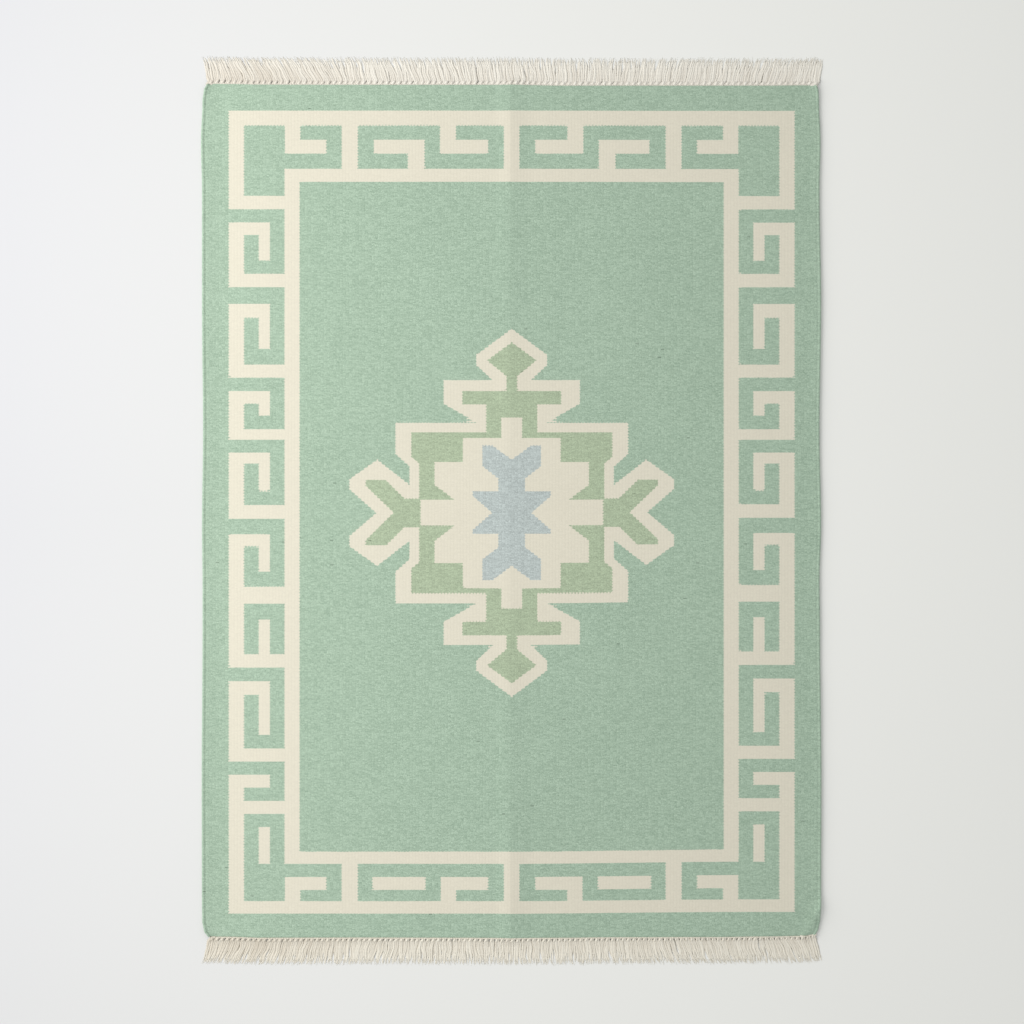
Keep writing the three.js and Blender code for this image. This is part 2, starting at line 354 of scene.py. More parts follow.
def half_thickness(x, y):
    """Half the cloth's thickness: rounded at its rim, and grooved beside the edge cords."""
    inward = np.minimum(HALF_WIDTH - np.abs(x), HALF_LENGTH - np.abs(y))
    arc = np.sqrt(1 - (1 - np.clip(inward / ROUNDING, THINNEST_RIM, 1)) ** 2)
    from_side = HALF_WIDTH - np.abs(x)
    groove = GROOVE["depth"] * hump((from_side - GROOVE["inward"]) / GROOVE["half_width"])
    return CLOTH_THICK / 2 * arc - groove


def new_piece(name, mesh):
    """An object for a finished mesh, at the origin and in the scene."""
    piece = bpy.data.objects.new(name, mesh)
    bpy.context.scene.collection.objects.link(piece)
    return piece


flat_x, flat_y = np.meshgrid(columns, rows)
laid_x, laid_y = laid(flat_x, flat_y)

# The frame's cloth says how far the whole rug was moved to centre it.
frame_low, frame_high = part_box("rug_body")
CENTRING_X = (frame_low.x + frame_high.x) / 2 / MM - (laid_x.min() + laid_x.max()) / 2
CENTRING_Y = (frame_low.y + frame_high.y) / 2 / MM - (laid_y.min() + laid_y.max()) / 2

middle_height = lift(flat_x, flat_y) + cockle(flat_x, flat_y) + CLOTH_THICK / 2
thickness = half_thickness(flat_x, flat_y)
faces_heights = (middle_height + thickness, middle_height - thickness)
points = np.concatenate([
    np.stack([laid_x + CENTRING_X, laid_y + CENTRING_Y, height], axis=-1).reshape(-1, 3)
    for height in faces_heights
])

row_count, column_count = flat_x.shape
upper = np.arange(row_count * column_count).reshape(row_count, column_count)
lower = upper + upper.size
figures = figure_distances(flat_x, flat_y)
# How far from a figure's edge, in millimetres, a cell's cut still matters to it
EDGE_REACH = 4


def split_cells():
    """Each cell of the grid as two triangles, cut so that the figures keep sharp corners."""
    middle_x = (columns[:-1] + columns[1:]) / 2
    middle_y = (rows[:-1] + rows[1:]) / 2
    true_middle = figure_distances(*np.meshgrid(middle_x, middle_y))
    rising_error = 0
    falling_error = 0
    for figure, distance in figures.items():
        nearness = np.exp(-np.abs(true_middle[figure]) / EDGE_REACH)
        rising = (distance[:-1, :-1] + distance[1:, 1:]) / 2
        falling = (distance[:-1, 1:] + distance[1:, :-1]) / 2
        rising_error = rising_error + nearness * np.abs(rising - true_middle[figure])
        falling_error = falling_error + nearness * np.abs(falling - true_middle[figure])
    near_left, near_right = upper[:-1, :-1], upper[:-1, 1:]
    far_left, far_right = upper[1:, :-1], upper[1:, 1:]
    rising_cut = rising_error <= falling_error
    first = np.stack([near_left, near_right, np.where(rising_cut, far_right, far_left)], -1)
    second = np.stack([np.where(rising_cut, near_left, near_right), far_right, far_left], -1)
    return np.concatenate([first.reshape(-1, 3), second.reshape(-1, 3)])


def rim_faces(top_line, under_line):
    """Faces that close the cloth's rim along one side, from its upper to its lower line."""
    first = np.stack([top_line[:-1], under_line[:-1], under_line[1:]], -1)
    second = np.stack([top_line[:-1], under_line[1:], top_line[1:]], -1)
    return np.concatenate([first, second])


upper_faces = split_cells()
cloth_faces = np.concatenate([
    upper_faces,
    upper_faces[:, ::-1] + upper.size,
    rim_faces(upper[0, :], lower[0, :]),
    rim_faces(upper[::-1, 0], lower[::-1, 0]),
    rim_faces(upper[-1, ::-1], lower[-1, ::-1]),
    rim_faces(upper[:, -1], lower[:, -1]),
])

cloth_mesh = bpy.data.meshes.new("rug_cloth")
cloth_mesh.from_pydata((points * MM).tolist(), [], cloth_faces.tolist())
cloth_mesh.shade_smooth()
for figure, distance in figures.items():
    attribute = cloth_mesh.attributes.new(f"{figure}_mm", "FLOAT", "POINT")
    attribute.data.foreach_set("value", np.tile(distance.ravel(), 2).astype(np.float32))

# The weave runs with the threads, so it is drawn on a map of the flat cloth, in metres.
weave_map = cloth_mesh.uv_layers.new(name="weave")
corner_points = np.empty(len(cloth_mesh.loops), np.int32)
cloth_mesh.loops.foreach_get("vertex_index", corner_points)
flat_points = np.tile(np.stack([flat_x.ravel(), flat_y.ravel()], -1) * MM, (2, 1))
weave_map.data.foreach_set("uv", flat_points[corner_points].astype(np.float32).ravel())
cloth = new_piece("rug_cloth", cloth_mesh)


class Value:
    """A socket of a node tree, with arithmetic that adds the Math nodes for it."""

    def __init__(self, tree, socket):
        self.tree = tree
        self.socket = socket

    def maths(self, operation, *others):
        sockets = dict(enumerate((self, *others)))
        return self.tree.node("ShaderNodeMath", {"operation": operation}, sockets)

    def __add__(self, other):
        return self.maths("ADD", other)

    __radd__ = __add__

    def __mul__(self, other):
        return self.maths("MULTIPLY", other)

    __rmul__ = __mul__

    def __sub__(self, other):
        return self.maths("SUBTRACT", other)

    def __rsub__(self, other):
        return self * -1 + other

    def __truediv__(self, other):
        return self.maths("DIVIDE", other)

    def __rtruediv__(self, other):
        return self**-1 * other

    def __pow__(self, other):
        return self.maths("POWER", other)

    def __mod__(self, other):
        return self.maths("FLOORED_MODULO", other)

    def floor(self):
        return self.maths("FLOOR")

    def sine(self):
        return self.maths("SINE")

    def cosine(self):
        return self.maths("COSINE")

    def size(self):
        return self.maths("ABSOLUTE")

    def clipped(self):
        """The value held between 0 and 1."""
        return self.maths("MAXIMUM", 0).maths("MINIMUM", 1)

    def eased(self):
        """The value held between 0 and 1, with a soft start and end."""
        held = self.clipped()
        return held * held * (3 - 2 * held)


class Tree:
    """A node tree being written, one node at a time."""

    def __init__(self, node_tree):
        self.node_tree = node_tree

    def node(self, kind, settings=None, sockets=None, output=None):
        """Adds a node: its settings, then its sockets by name or number. Gives one output."""
        node = self.node_tree.nodes.new(kind)
        for name, setting in (settings or {}).items():
            setattr(node, name, setting)
        for name, value in (sockets or {}).items():
            socket = self.pick(node.inputs, name)
            if isinstance(value, Value):
                self.node_tree.links.new(value.socket, socket)
            else:
                socket.default_value = value
        return Value(self, self.pick(node.outputs, output or 0)) if node.outputs else None

    def pick(self, sockets, name):
        """A node's socket in use by that name, or by its number among those in use."""
        in_use = [socket for socket in sockets if socket.enabled]
        return in_use[name] if isinstance(name, int) else next(s for s in in_use if s.name == name)

    def vector(self, x=0, y=0, z=0):
        return self.node("ShaderNodeCombineXYZ", None, {"X": x, "Y": y, "Z": z})

    def part(self, vector, axis):
        """The x, y or z of a vector."""
        return self.node("ShaderNodeSeparateXYZ", None, {"Vector": vector}, axis)

    def mix(self, share, first, second):
        """From the first colour to the second."""
        sockets = {"Factor": share, "A": first, "B": second}
        return self.node("ShaderNodeMix", {"data_type": "RGBA"}, sockets)

    def stored(self, name):
        """A number kept on the mesh under a name."""
        return self.node("ShaderNodeAttribute", {"attribute_name": name}, None, "Fac")

    def brighten(self, colour, amount):
        """A colour times a number."""
        sockets = {"Vector": colour, "Scale": amount}
        return self.node("ShaderNodeVectorMath", {"operation": "SCALE"}, sockets)

    def chance(self, *place):
        """A fixed random number from 0 to 1 for each place."""
        return self.node("ShaderNodeTexWhiteNoise", None, {"Vector": self.vector(*place)}, "Value")

    def mottle(self, scale, detail, *place):
        """Smooth noise about 0, mostly within -0.5 to 0.5."""
        sockets = {"Vector": self.vector(*place), "Scale": scale, "Detail": detail}
        return self.node("ShaderNodeTexNoise", None, sockets, "Fac") - 0.5


def new_finish(name):
    """An empty material and the tree that it is written in."""
    finish = bpy.data.materials.new(name)
    finish.use_nodes = True
    finish.node_tree.nodes.clear()
    return finish, Tree(finish.node_tree)


def cotton_surface(tree, colour, roughness, height, depth, sheen):
    """Ends a material: matt cotton of that colour, with its yarn's relief."""
    normal = tree.node("ShaderNodeBump", None, {"Strength": 1.0, "Distance": depth, "Height": height})
    sockets = {
        "Base Color": colour,
        "Roughness": roughness,
        "Normal": normal,
        "Specular IOR Level": 0.15,
        "Sheen Weight": sheen,
        "Sheen Roughness": 0.6,
    }
    surface = tree.node("ShaderNodeBsdfPrincipled", None, sockets)
    tree.node("ShaderNodeOutputMaterial", None, {"Surface": surface})


# Woven surface: ribs over the paired warps, covered by wefts that cross every second one. The
# amounts of grain, contrast and painted shade are shares of the yarn's colour.
RIB_PITCH = 6.2
WEFT_PITCH = 2.4
TOOTH_PITCH = 5.7
GREEN_PALE = (0.453, 0.575, 0.453, 1)
GREEN_DEEP = (0.282, 0.400, 0.295, 1)
CREAM = (0.720, 0.681, 0.561, 1)
OLIVE = (0.402, 0.484, 0.335, 1)
BLUE = (0.466, 0.523, 0.507, 1)
SEAM = {"tooth": 0.85, "rib": 0.9, "blur": 0.6, "group_width": 20}
GRAIN = {"stitch": 0.3, "fleck": 1.35, "streak": 0.12, "cloud": 0.10}
CONTRAST = {"ground": 0.36, "more_in_figures": 0.3, "less_in_light_yarn": 0.52}
# Painted shade: how much darker the groove, the left margin and the half right of the crease are
PAINTED_SHADE = {"groove": 0.15, "shaded_left_margin": 0.05, "shaded_half": 0.03}
LEFT_MARGIN_WIDTH = 40
# Where the painted shade over the right half starts beside the crease, and how wide it fades in
SHADED_HALF = {"from_crease": -12, "over": 20}
NEP = {"scarcity": 0.9997, "darker": 0.35}

woven_cotton, weave = new_finish("woven_cotton")
flat_place = weave.node("ShaderNodeUVMap", {"uv_map": "weave"})
place_x = weave.part(flat_place, "X") / MM
place_y = weave.part(flat_place, "Y") / MM
uneven_x = place_x + 1.0 * weave.mottle(0.05, 2, place_x, place_y * 0.3, 3)
uneven_y = place_y + 2.2 * weave.mottle(0.03, 2, place_x, place_y, 9)
rib = uneven_x / RIB_PITCH
rib_number = rib.floor()
pick = uneven_y / WEFT_PITCH + 0.5 * (rib_number % 2)
pick_number = pick.floor()
across_rib = 2 * (rib - rib_number) - 1
across_pick = 2 * (pick - pick_number) - 1
rib_round = 1 - across_rib * across_rib
pick_round = 1 - across_pick * across_pick

# Where two colours meet, each turns back over its own group of picks, so the seam is toothed.
tooth = (place_y * (2 * math.pi / TOOTH_PITCH)).cosine()
tooth_row = (place_y / TOOTH_PITCH).floor()
tooth_size = 0.6 + 0.8 * weave.chance(tooth_row, (place_x / SEAM["group_width"]).floor(), 0)
teeth = SEAM["tooth"] * tooth * tooth_size + SEAM["rib"] * (rib_round - 0.6)


def in_figure(name):
    """1 inside a figure of the chart, 0 outside it."""
    return (0.5 - (weave.stored(f"{name}_mm") + teeth) / SEAM["blur"]).clipped()


# The yarn is unevenly spun: flecks that lean with its twist, and lighter and darker stitches.
stitch_tone = weave.chance(rib_number, pick_number, 0) - 0.5
fleck = weave.mottle(1.0, 1, (place_x + place_y) * 0.26, (place_x - place_y) * 0.42, 0)
streak = weave.mottle(1.0, 3, place_x * 0.006, place_y * 0.35, 5)
cloud = weave.mottle(0.008, 2, place_x, place_y, 17)
grain = GRAIN["stitch"] * stitch_tone + GRAIN["fleck"] * fleck
grain = grain + GRAIN["streak"] * streak + GRAIN["cloud"] * cloud
in_cream = in_figure("cream")
in_olive = in_figure("olive") * (1 - in_figure("star"))
in_blue = in_figure("blue")
light_yarn = (in_cream * (1 - in_olive) * (1 - in_blue)).clipped()
yarn_colour = weave.mix((0.5 + grain * 0.9).clipped(), GREEN_DEEP, GREEN_PALE)
yarn_colour = weave.mix(in_cream, yarn_colour, CREAM)
yarn_colour = weave.mix(in_olive, yarn_colour, OLIVE)
yarn_colour = weave.mix(in_blue, yarn_colour, BLUE)
contrast = CONTRAST["ground"] + CONTRAST["more_in_figures"] * in_cream
contrast = contrast - CONTRAST["less_in_light_yarn"] * light_yarn
yarn_colour = weave.brighten(yarn_colour, 1 + grain * contrast)
# Painted shade between the ribs: the yarn is a little darker where the ribs dip
yarn_colour = weave.brighten(yarn_colour, 1 - 0.03 * (1 - rib_round))

# Painted shade: the colour is darkened in the groove beside the left edge cord, along the left
# margin, and a little over the half of the rug right of the crease.
# Painted shade in the groove beside the left edge cord
from_groove = (HALF_WIDTH - GROOVE["inward"] - place_x.size()) / GROOVE["half_width"]
groove_shade = (1 - from_groove * from_groove).clipped() * (place_x / -10).clipped()
# Painted shade along the left margin
shaded_left_margin = ((place_x + PATTERN_HALF_WIDTH) / -LEFT_MARGIN_WIDTH).eased()
# Painted shade over the half of the rug right of the crease
past_crease = place_x - (CREASE["x"] + SHADED_HALF["from_crease"])
shaded_half = (past_crease / SHADED_HALF["over"] + 0.5).eased()
painted_shade_factor = (1 - PAINTED_SHADE["groove"] * groove_shade) * (1 - PAINTED_SHADE["shaded_left_margin"] * shaded_left_margin)
painted_shade_factor = painted_shade_factor * (1 - PAINTED_SHADE["shaded_half"] * shaded_half)
yarn_colour = weave.brighten(yarn_colour, painted_shade_factor)

# Now and then a knot of darker fibre is spun into the green
nep = (weave.chance(rib_number, pick_number, 7) - NEP["scarcity"]).maths("GREATER_THAN", 0)
yarn_colour = weave.brighten(yarn_colour, 1 - NEP["darker"] * nep * (1 - light_yarn))
relief = rib_round * (0.12 + 0.14 * pick_round) + 0.9 * fleck * (1 - 0.5 * light_yarn)
cotton_surface(weave, yarn_colour, 0.88 + 0.2 * fleck, relief, 0.35 * MM, 0.08)
cloth_mesh.materials.append(woven_cotton)

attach(cloth, "root")
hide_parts("rug_body")


# The selvedges: at each side the wefts turn round a doubled edge warp, so the edge is a thin
# corded roll of green loops, one for every pick.
LOOP = {"spacing": 2.9, "half_length": 3.1, "half_width": 1.5, "half_height": 2.05, "slant": 14}
LOOP_DARK = (0.23, 0.33, 0.245, 1)
LOOP_LIGHT = (0.43, 0.56, 0.44, 1)
LOOP_TWIST_PITCH = 5
EDGE_STEPS = 160


def guide_line(name, runs):
    """A poly curve through points in millimetres, for Geometry Nodes to follow."""
    curve = bpy.data.curves.new(name, "CURVE")
    curve.dimensions = "3D"
    for run in runs:
        spline = curve.splines.new("POLY")
        spline.points.add(len(run) - 1)
        for target, point in zip(spline.points, run):
            target.co = (*[coordinate * MM for coordinate in point], 1)
    return new_piece(name, curve)


def edge_points(x, y):
    """Points of the cloth's edge at mid thickness, in millimetres."""
    edge_x, edge_y = laid(x, y)
    height = lift(x, y) + cockle(x, y) + CLOTH_THICK / 2
    return list(zip(edge_x + CENTRING_X, edge_y + CENTRING_Y, height))


class GeometryTree(Tree):
    """A Geometry Nodes tree with named inputs."""

    KINDS = {
        int: "NodeSocketInt",
        float: "NodeSocketFloat",
        bpy.types.Object: "NodeSocketObject",
        bpy.types.Material: "NodeSocketMaterial",
    }

    def __init__(self, name, inputs):
        super().__init__(bpy.data.node_groups.new(name, "GeometryNodeTree"))
        self.inputs = inputs
        interface = self.node_tree.interface
        interface.new_socket("Geometry", in_out="OUTPUT", socket_type="NodeSocketGeometry")
        self.identifiers = {}
        for label, value in inputs.items():
            kind = self.KINDS[type(value)]
            socket = interface.new_socket(label, in_out="INPUT", socket_type=kind)
            self.identifiers[label] = socket.identifier
        self.start = self.node_tree.nodes.new("NodeGroupInput")

    def given(self, label):
        """The named input, as a value for other nodes."""
        return Value(self, self.start.outputs[label])

    def spaced_points(self, label, spacing):
        """Points along the line given by that name, that far apart."""
        sockets = {"Curve": self.given_line(label), "Length": spacing}
        return self.node("GeometryNodeCurveToPoints", {"mode": "LENGTH"}, sockets)

    def given_line(self, label):
        sockets = {"Object": self.given(label)}
        return self.node("GeometryNodeObjectInfo", None, sockets, "Geometry")

    def keep(self, geometry, name, value, domain="POINT"):
        """Keeps a number on the geometry under a name."""
        sockets = {"Geometry": geometry, "Name": name, "Value": value}
        return self.node("GeometryNodeStoreNamedAttribute", {"domain": domain}, sockets)

    def toned_copies(self, places, shape, size, turn, tone):
        """A copy of a shape at each point, turned on the floor, with a tone of its own."""
        turned = self.node("FunctionNodeEulerToRotation", None, {"Euler": self.vector(0, 0, turn)})
        sockets = {"Points": places, "Instance": shape, "Rotation": turned, "Scale": size}
        placed = self.node("GeometryNodeInstanceOnPoints", None, sockets)
        return self.keep(placed, "tone", tone, "INSTANCE")

    def join(self, *parts):
        joined = self.node_tree.nodes.new("GeometryNodeJoinGeometry")
        for part in parts:
            self.node_tree.links.new(part.socket, joined.inputs[0])
        return Value(self, joined.outputs[0])

    def finish(self, geometry, material):
        """Ends the tree: real geometry, smooth, with its material."""
        geometry = self.node("GeometryNodeRealizeInstances", None, {"Geometry": geometry})
        geometry = self.node("GeometryNodeSetShadeSmooth", None, {"Geometry": geometry})
        sockets = {"Geometry": geometry, "Material": material}
        geometry = self.node("GeometryNodeSetMaterial", None, sockets)
        self.node("NodeGroupOutput", None, {"Geometry": geometry})

    def grow(self, name):
        """Runs the tree on an empty object, and gives the plain mesh piece that results."""
        host = new_piece(name + "_host", bpy.data.meshes.new(name + "_host"))
        modifier = host.modifiers.new(name, "NODES")
        modifier.node_group = self.node_tree
        for label, value in self.inputs.items():
            modifier[self.identifiers[label]] = value
        host.update_tag()
        graph = bpy.context.evaluated_depsgraph_get()
        mesh = bpy.data.meshes.new_from_object(host.evaluated_get(graph))
        mesh.name = name
        bpy.data.objects.remove(host)
        return new_piece(name, mesh)


def yarn_finish(name, dark, light, twist_pitch):
    """Twisted cotton yarn: fibres along it, its plies across it with painted shade between them,
    lighter and darker yarns.
    """
    finish, yarn = new_finish(name)
    turn = yarn.stored("along_mm") * (2 * math.pi / twist_pitch)
    ply = yarn.stored("round_cosine") * turn.cosine() - yarn.stored("round_sine") * turn.sine()
    place = yarn.node("ShaderNodeTexCoord", None, None, "Object")
    place_x = yarn.part(place, "X") / MM
    place_y = yarn.part(place, "Y") / MM
    place_z = yarn.part(place, "Z") / MM
    fibre = yarn.mottle(1.6, 3, place_x, place_y * 0.35, place_z)
    # The ply term paints shade into the grooves between the plies
    shade = (yarn.stored("tone") + 0.25 * fibre + 0.10 * ply).clipped()
    colour = yarn.mix(shade, dark, light)
    cotton_surface(yarn, colour, 0.9 + 0.1 * fibre, 0.5 * ply + 0.8 * fibre, 0.12 * MM, 0.1)
    return finish


edge_rows = np.linspace(-HALF_LENGTH, HALF_LENGTH, EDGE_STEPS)
loop_inset = HALF_WIDTH - LOOP["half_length"]
selvedge_line = guide_line("selvedge_line", [
    edge_points(np.full(edge_rows.shape, side * loop_inset), edge_rows) for side in (-1.0, 1.0)
])
selvedge_cotton = yarn_finish("selvedge_cotton", LOOP_DARK, LOOP_LIGHT, LOOP_TWIST_PITCH)

loops = GeometryTree("selvedge loops", {
    "Line": selvedge_line,
    "Spacing": LOOP["spacing"] * MM,
    "Half length": LOOP["half_length"] * MM,
    "Half width": LOOP["half_width"] * MM,
    "Half height": LOOP["half_height"] * MM,
    "Slant": math.radians(LOOP["slant"]),
    "Seed": 4,
    "Yarn": selvedge_cotton,
})


def selvedge_loops(tree):
    """One green loop per pick along both edges, each a little unlike the next, the left edge's loops
    painted darker as painted shade.
    """
    places = tree.spaced_points("Line", tree.given("Spacing"))
    loop = tree.node("GeometryNodeMeshUVSphere", None, {"Segments": 8, "Rings": 5, "Radius": 1.0})
    number = tree.node("GeometryNodeInputIndex")
    seed = tree.given("Seed")
    stretch = 1 + 0.22 * (tree.chance(number, seed, 1) - 0.5)
    size = tree.vector(
        tree.given("Half length") * stretch,
        tree.given("Half width") * (2 - stretch),
        tree.given("Half height") * stretch,
    )
    turn = tree.given("Slant") * (1 + 1.2 * (tree.chance(number, seed, 2) - 0.5))
    place_x = tree.part(tree.node("GeometryNodeInputPosition"), "X")
    right_side = (place_x / MM).clipped()
    # Painted shade: loops along the left edge get a darker tone than those along the right
    tone = 0.15 + 0.4 * tree.chance(number, seed, 3) + 0.7 * right_side
    tree.finish(tree.toned_copies(places, loop, size, turn, tone), tree.given("Yarn"))


selvedge_loops(loops)
selvedges = loops.grow("selvedges")
bpy.data.objects.remove(selvedge_line)
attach(selvedges, "root")


# The two fringes: undyed warp ends past the last weft, twined along the edge, knotted with one
# slanting turn of yarn for each bunch, and left loose on the floor with frayed tips. Each of
# the leans is a place along the edge, and how far to the right of its root a tip lies there.
FRINGES = [
    {
        "name": "fringe_top", "end": 1.0, "knots": 104, "length": 52.0, "yarn": 4.4,
        "first_lean": 5.4, "neck": 0.33, "neck_reach": 3.4, "twining_out": 0.8, "inset": 0,
        "turn_size": (2.5, 4.9, 1.8), "turn_slant": 40,
        "leans": [
            (-603, -9), (-565, -12), (-520, -18), (-430, -22), (-365, -23), (-320, -8),
            (-215, -10), (-100, -8), (-20, -1), (95, 4), (210, 9), (330, 20),
            (405, 15), (485, 20), (560, 20), (603, 13),
        ],
        "dark": (0.62, 0.57, 0.49, 1), "light": (0.79, 0.758, 0.68, 1),
    },
    {
        "name": "fringe_bottom", "end": -1.0, "knots": 115, "length": 51.0, "yarn": 4.0,
        "first_lean": -1.0, "neck": 0.5, "neck_reach": 2.6, "twining_out": 1.8, "inset": 5,
        "turn_size": (2.2, 3.5, 1.9), "turn_slant": -16,
        "leans": [
            (-603, -17), (-560, -21), (-490, -19), (-410, -15), (-340, -6), (-270, -13),
            (-180, -6), (-100, 0), (95, 3), (210, 7), (330, 19), (405, 16),
            (470, 9), (530, 21), (575, 18), (603, 12),
        ],
        "dark": (0.61, 0.555, 0.46, 1), "light": (0.79, 0.75, 0.65, 1),
    },
]
# Yarns by the way they lie: closed up from their knot, strayed out of it, and pressed flat below;
# the flat ones get a darker tone, as painted shade in the gaps between the yarns above
YARN_LAYERS = [
    {"per_knot": 3, "thick": 1.0, "flatness": 0.32, "wander": 7, "rise": 0.5, "tone": 0.72},
    {"per_knot": 2, "thick": 0.75, "flatness": 0.32, "wander": 16, "rise": 0.9, "tone": 0.80},
    {"per_knot": 2, "thick": 1.8, "flatness": 0.10, "wander": 8, "rise": 0.1, "tone": 0.50},
]
LAYER_SEEDS_APART = 70
YARN_STEPS = 14
YARN_SIDES = 6
YARN_TWIST_PITCH = 7
HAIRS_PER_KNOT = 4
HAIR_STEPS = 5
HAIR_SIDES = 3
HAIR_RADIUS = 0.26
# How far neighbouring yarns are drawn aside together, and over what width of the fringe
CLUMP = {"reach": 10, "width": 26}
CURL = {"reach": 12, "width": 40}
TWINING_PITCH = 3.1
TWINING_STITCH = (2.1, 0.95, 1.8)
# Painted shade: the yarns and knots are dulled towards the left end, by the lamp, so they look evenly
# lit
LEFT_END_SHADE = {"x": -200, "over": 300, "duller": 0.5}
EDGE_COLUMNS = 130
# Distances out from the last weft
KNOT_OUT = 4.2
SLANT_END = 8
SETTLING = {"start": 3, "over": 12}


def strands(tree, count, steps, sides):
    """That many straight lines of that many points, and the fields that number them."""
    line = tree.node("GeometryNodeCurvePrimitiveLine", None, {"End": (0, 1, 0)})
    line = tree.node("GeometryNodeResampleCurve", None, {"Curve": line, "Count": steps})
    hosts = tree.node("GeometryNodePoints", None, {"Count": count})
    placed = tree.node("GeometryNodeInstanceOnPoints", None, {"Points": hosts, "Instance": line})
    lines = tree.node("GeometryNodeRealizeInstances", None, {"Geometry": placed})
    index = tree.node("GeometryNodeInputIndex")
    number = (index / steps + 0.001).floor()
    share = (index - number * steps) / (steps - 1)
    sockets = {"Resolution": sides, "Radius": 1.0}
    profile = tree.node("GeometryNodeCurvePrimitiveCircle", None, sockets, "Curve")
    return lines, number, share, profile


def place_on(tree, knot_place):
    """The x, y and z of the edge at a place counted in knots, and the lean kept as its tilt."""
    sockets = {
        "Curves": tree.given_line("Edge"),
        "Value": tree.node("GeometryNodeInputCurveTilt"),
        "Factor": (knot_place / tree.given("Knots")).clipped(),
    }
    settings = {"mode": "FACTOR", "data_type": "FLOAT"}
    place = tree.node("GeometryNodeSampleCurve", settings, sockets, "Position")
    lean = tree.node("GeometryNodeSampleCurve", settings, sockets, "Value")
    return [tree.part(place, axis) for axis in "XYZ"], lean


def lying_path(tree, root, lean, out_share):
    """Where a yarn lies, from root to tip: first the slant of its knot, then its own lean."""
    out = tree.given("Length") * out_share
    seed = tree.given("Seed")
    first = tree.given("First lean") * (out / (SLANT_END * MM)).eased()
    clump = CLUMP["reach"] * MM * tree.mottle(1.0, 2, root[0] / (CLUMP["width"] * MM), seed, 0)
    later = (lean - tree.given("First lean") + clump) * out_share ** 1.2
    curl = tree.mottle(1.0, 1, root[0] / (CURL["width"] * MM), out_share * 1.6, seed)
    bulge = CURL["reach"] * MM * curl * (out_share.clipped() * math.pi).sine()
    return root[0] + first + later + bulge, root[1] + tree.given("Outward") * out, out


def shaded_left_end(x):
    """How much duller the yarns are painted towards the left end of the edge, as painted shade."""
    return LEFT_END_SHADE["duller"] * ((LEFT_END_SHADE["x"] - x / MM) / LEFT_END_SHADE["over"]).eased()


def shaped_yarns(tree, layer, seed):
    """One layer of the loose yarns, from the twining through their knot to the tip."""
    per_knot, wander = layer["per_knot"], layer["wander"]
    count = tree.given("Knots") * per_knot
    lines, number, share, profile = strands(tree, count, YARN_STEPS, YARN_SIDES)
    knot = (number / per_knot + 0.001).floor()
    rank = (number - knot * per_knot - (per_knot - 1) / 2) / per_knot
    root, lean = place_on(tree, knot + 0.5)
    pitch = 2 * HALF_WIDTH * MM / tree.given("Knots")

    own_length = 1 + 0.14 * (tree.chance(number, seed, 1) - 0.55)
    out_share = own_length * share ** 1.3 - 0.025
    x, y, out = lying_path(tree, root, lean, out_share)
    from_knot = (out - KNOT_OUT * MM) / tree.given("Neck reach")
    squeeze = 1 - tree.given("Neck") * (from_knot * from_knot * -1).maths("EXPONENT")
    loose = out_share.clipped().eased()
    sideways = (rank + 0.12 * (tree.chance(number, seed, 2) - 0.5)) * pitch * squeeze
    own_lean = wander * MM * (tree.chance(number, seed, 3) - 0.5) * loose
    wave = wander * MM * tree.mottle(1.0, 1, number * 0.73, out_share * 1.7, seed) * loose
    radius = tree.given("Yarn thickness") * layer["thick"] / 2
    radius = radius * (0.78 + 0.42 * tree.chance(number, seed, 4))
    settle = ((out / MM - SETTLING["start"]) / SETTLING["over"]).eased()
    rise = layer["rise"] * MM * tree.chance(number, seed, 5) * loose * (1 - share ** 2)
    thick = radius * (1 - 0.85 * share ** 4) * squeeze ** 0.7
    height = thick * layer["flatness"] + rise
    z = (root[2] + 0.2 * MM) * (1 - settle) + height * settle
    place = tree.vector(x + sideways + own_lean + wave, y, z)
    lines = tree.node("GeometryNodeSetPosition", None, {"Geometry": lines, "Position": place})
    clump = tree.mottle(1.0, 2, root[0] / (CLUMP["width"] * MM), seed, 4)
    tone = layer["tone"] + 0.9 * clump + 0.45 * (tree.chance(number, seed, 6) - 0.5)
    # Painted light: the tips are painted paler, against the shade between the frayed ends
    tone = tone + 0.7 * share ** 4 - shaded_left_end(root[0])
    return swept(tree, lines, profile, thick, layer["flatness"], tone, out / MM, YARN_SIDES)


def shaped_hairs(tree):
    """Single fibres past the tips, where the yarns have come untwisted."""
    count = tree.given("Knots") * HAIRS_PER_KNOT
    lines, number, share, profile = strands(tree, count, HAIR_STEPS, HAIR_SIDES)
    seed = tree.given("Seed") + 50
    place = (number + tree.chance(number, seed, 1)) / HAIRS_PER_KNOT
    root, lean = place_on(tree, place)
    out_share = 0.76 + 0.1 * tree.chance(number, seed, 2) + 0.22 * share
    x, y, out = lying_path(tree, root, lean, out_share)
    bend = 8 * MM * (tree.chance(number, seed, 3) - 0.5) * (0.3 + share ** 2)
    z = 0.3 * MM + 0.4 * MM * tree.chance(number, seed, 4) * (1 - 0.7 * share)
    place = tree.vector(x + bend, y, z)
    lines = tree.node("GeometryNodeSetPosition", None, {"Geometry": lines, "Position": place})
    thick = HAIR_RADIUS * MM * (1 - 0.6 * share)
    # Painted light: the hairs are painted paler than the yarns, against their own grey shade
    tone = 1.1 + 0.3 * (tree.chance(number, seed, 5) - 0.5)
    return swept(tree, lines, profile, thick, 1.0, tone, out / MM, HAIR_SIDES)


